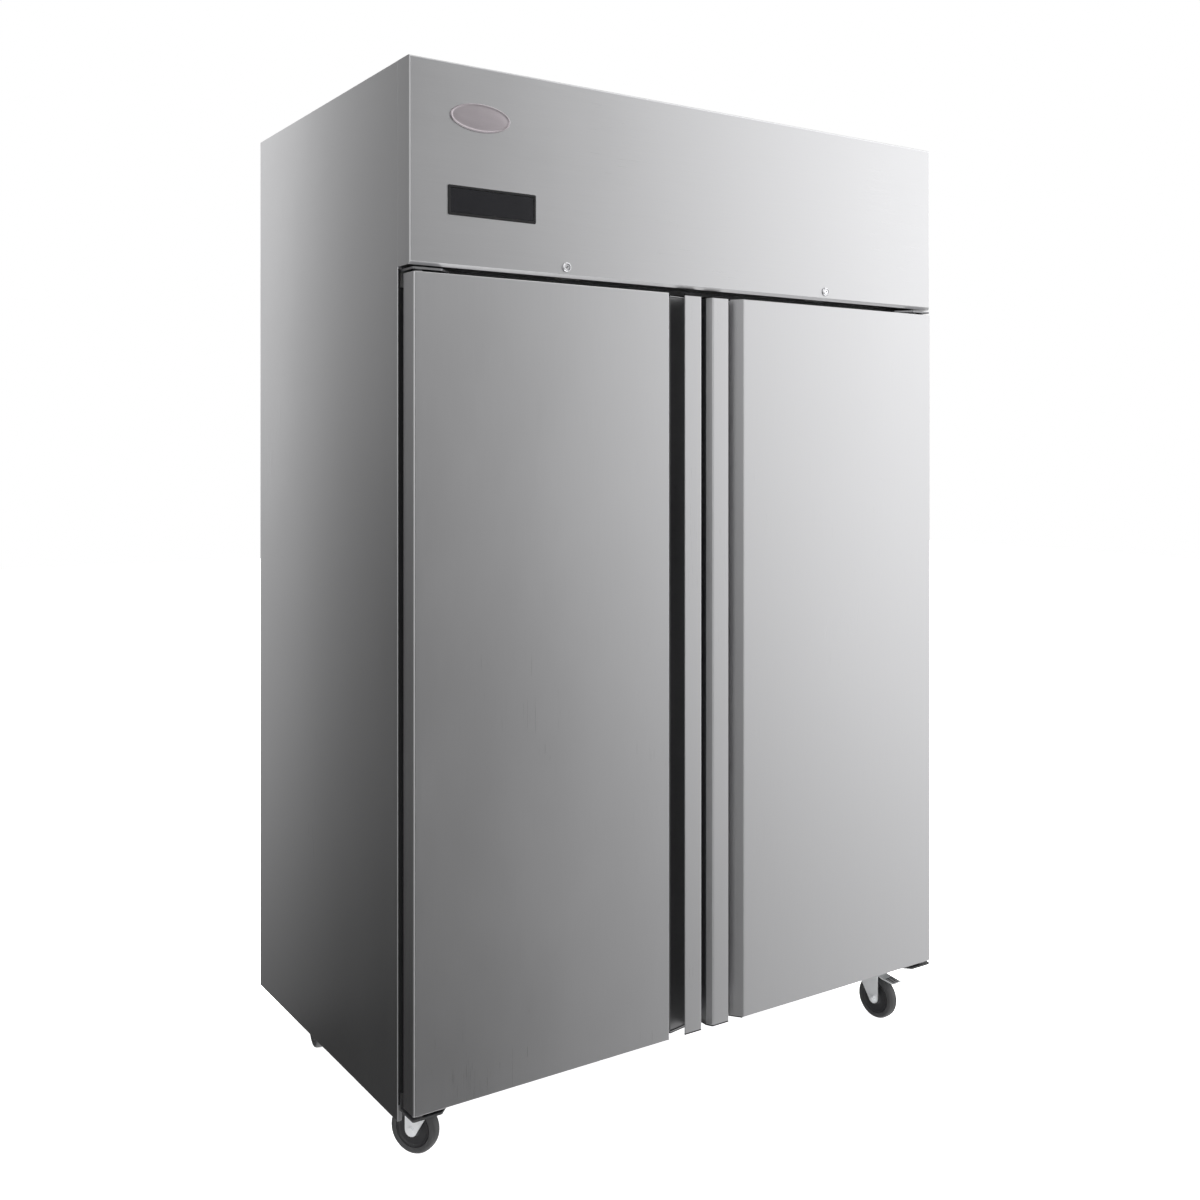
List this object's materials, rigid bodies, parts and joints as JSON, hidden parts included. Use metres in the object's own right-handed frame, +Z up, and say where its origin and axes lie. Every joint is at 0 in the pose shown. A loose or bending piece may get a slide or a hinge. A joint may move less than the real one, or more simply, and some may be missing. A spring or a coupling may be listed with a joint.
{
  "type": "reach in refrigerator",
  "caption": "Upright stainless reach-in refrigerator with side-by-side full-height doors, recessed edge handles, a cooling unit behind the top fascia, wire shelves and swivel castors.",
  "frame": {"origin": "on the floor under the middle of the cabinet's footprint", "axes": "+Z up, the doors face -Y, +X is to the right of someone facing the doors"},
  "size_m": [1.34, 0.8, 2.03],
  "materials": {
    "stainless": "satin brushed, grain running up the sheet",
    "galvanised": "satin galvanised sheet",
    "bright_zinc": "polished bright zinc plating",
    "chrome": "polished",
    "fin_aluminium": "satin mill finish",
    "badge_metal": "satin brushed with a raised rim",
    "black_paint": "satin black",
    "black_plastic": "matte black",
    "bezel_plastic": "satin dark grey",
    "display_gloss": "gloss black window",
    "frame_plastic": "satin dark grey",
    "liner_plastic": "satin light grey",
    "foam": "matte foam, hidden inside the walls",
    "gasket_rubber": "matte black",
    "castor_rubber": "satin black moulded hub and tyre",
    "coated_wire": "satin light grey plastic coating"
  },
  "bodies": {
    "cabinet": {"back_panel": "stainless", "badge_plate": "badge_metal", "base_pan": "galvanised", "castor_plate_front_left": "bright_zinc", "castor_plate_front_right": "bright_zinc", "castor_plate_rear_left": "bright_zinc", "castor_plate_rear_right": "bright_zinc", "compressor": "black_paint", "condenser_coil": "fin_aluminium", "condenser_shroud": "black_paint", "controller_bezel": "bezel_plastic", "controller_window": "display_gloss", "door_frame": "frame_plastic", "evaporator_coil": "fin_aluminium", "evaporator_cover": "stainless", "front_fascia": "stainless", "hinge_bottom_left": "black_paint", "hinge_bottom_right": "black_paint", "hinge_top_left": "bright_zinc", "hinge_top_right": "bright_zinc", "inner_liner": "stainless", "insulation_body": "foam", "lock_barrel_left": "chrome", "lock_barrel_right": "chrome", "mullion": "frame_plastic", "rear_grille": "stainless", "shelf_left_lower": "coated_wire", "shelf_left_middle": "coated_wire", "shelf_left_upper": "coated_wire", "shelf_right_lower": "coated_wire", "shelf_right_middle": "coated_wire", "shelf_right_upper": "coated_wire", "side_panel_left": "stainless", "side_panel_right": "stainless", "top_cover": "stainless"},
    "door_left": {"door_left_core": "foam", "door_left_gasket": "gasket_rubber", "door_left_handle": "stainless", "door_left_inner_panel": "liner_plastic", "door_left_skin": "stainless"},
    "door_right": {"door_right_core": "foam", "door_right_gasket": "gasket_rubber", "door_right_handle": "stainless", "door_right_inner_panel": "liner_plastic", "door_right_skin": "stainless"},
    "lock_cam_left": {"lock_cam_left": "bright_zinc"},
    "lock_cam_right": {"lock_cam_right": "bright_zinc"},
    "condenser_fan": {"condenser_fan": "black_plastic"},
    "evaporator_fan_left": {"evaporator_fan_left": "black_plastic"},
    "evaporator_fan_right": {"evaporator_fan_right": "black_plastic"},
    "castor_front_left": {"castor_fork_front_left": "bright_zinc"},
    "wheel_front_left": {"castor_wheel_front_left": "castor_rubber"},
    "brake_front_left": {"brake_pedal_front_left": "bright_zinc"},
    "castor_front_right": {"castor_fork_front_right": "bright_zinc"},
    "wheel_front_right": {"castor_wheel_front_right": "castor_rubber"},
    "brake_front_right": {"brake_pedal_front_right": "bright_zinc"},
    "castor_rear_left": {"castor_fork_rear_left": "bright_zinc"},
    "wheel_rear_left": {"castor_wheel_rear_left": "castor_rubber"},
    "castor_rear_right": {"castor_fork_rear_right": "bright_zinc"},
    "wheel_rear_right": {"castor_wheel_rear_right": "castor_rubber"}
  },
  "joints": [
    {"name": "door_left_hinge", "type": "hinge", "parent": "cabinet", "child": "door_left", "pos_m": [-0.647, -0.382, 0.8855], "axis": [0, 0, -1], "range_deg": [0, 120]},
    {"name": "door_right_hinge", "type": "hinge", "parent": "cabinet", "child": "door_right", "pos_m": [0.647, -0.382, 0.8855], "axis": [0, 0, 1], "range_deg": [0, 120]},
    {"name": "lock_left_turn", "type": "hinge", "parent": "cabinet", "child": "lock_cam_left", "pos_m": [-0.338, -0.3745, 1.675], "axis": [0, 1, 0], "range_deg": [0, 90]},
    {"name": "lock_right_turn", "type": "hinge", "parent": "cabinet", "child": "lock_cam_right", "pos_m": [0.338, -0.3745, 1.675], "axis": [0, -1, 0], "range_deg": [0, 90]},
    {"name": "condenser_fan_spin", "type": "hinge", "parent": "cabinet", "child": "condenser_fan", "pos_m": [-0.33, 0.0555, 1.7855], "axis": [0, 1, 0], "continuous": true},
    {"name": "evaporator_fan_left_spin", "type": "hinge", "parent": "cabinet", "child": "evaporator_fan_left", "pos_m": [-0.17, 0.044, 1.5191], "axis": [0, -1, 0], "continuous": true},
    {"name": "evaporator_fan_right_spin", "type": "hinge", "parent": "cabinet", "child": "evaporator_fan_right", "pos_m": [0.17, 0.044, 1.5191], "axis": [0, -1, 0], "continuous": true},
    {"name": "castor_front_left_swivel", "type": "hinge", "parent": "cabinet", "child": "castor_front_left", "pos_m": [-0.588, -0.307, 0.12], "axis": [0, 0, 1], "continuous": true},
    {"name": "wheel_front_left_spin", "type": "hinge", "parent": "castor_front_left", "child": "wheel_front_left", "pos_m": [-0.60478, -0.28213, 0.048], "axis": [-0.829, -0.5592, 0], "continuous": true},
    {"name": "brake_front_left_press", "type": "hinge", "parent": "castor_front_left", "child": "brake_front_left", "pos_m": [-0.59807, -0.29208, 0.106], "axis": [-0.829, -0.5592, 0], "range_deg": [0, 8]},
    {"name": "castor_front_right_swivel", "type": "hinge", "parent": "cabinet", "child": "castor_front_right", "pos_m": [0.553, -0.307, 0.12], "axis": [0, 0, 1], "continuous": true},
    {"name": "wheel_front_right_spin", "type": "hinge", "parent": "castor_front_right", "child": "wheel_front_right", "pos_m": [0.55666, -0.33678, 0.048], "axis": [0.9925, 0.1219, 0], "continuous": true},
    {"name": "brake_front_right_press", "type": "hinge", "parent": "castor_front_right", "child": "brake_front_right", "pos_m": [0.55519, -0.32487, 0.106], "axis": [0.9925, 0.1219, 0], "range_deg": [0, 8]},
    {"name": "castor_rear_left_swivel", "type": "hinge", "parent": "cabinet", "child": "castor_rear_left", "pos_m": [-0.588, 0.272, 0.12], "axis": [0, 0, 1], "continuous": true},
    {"name": "wheel_rear_left_spin", "type": "hinge", "parent": "castor_rear_left", "child": "wheel_rear_left", "pos_m": [-0.59269, 0.24237, 0.048], "axis": [0.9877, -0.1564, 0], "continuous": true},
    {"name": "castor_rear_right_swivel", "type": "hinge", "parent": "cabinet", "child": "castor_rear_right", "pos_m": [0.553, 0.272, 0.12], "axis": [0, 0, 1], "continuous": true},
    {"name": "wheel_rear_right_spin", "type": "hinge", "parent": "castor_rear_right", "child": "wheel_rear_right", "pos_m": [0.56375, 0.24399, 0.048], "axis": [0.9336, 0.3584, 0], "continuous": true}
  ]
}
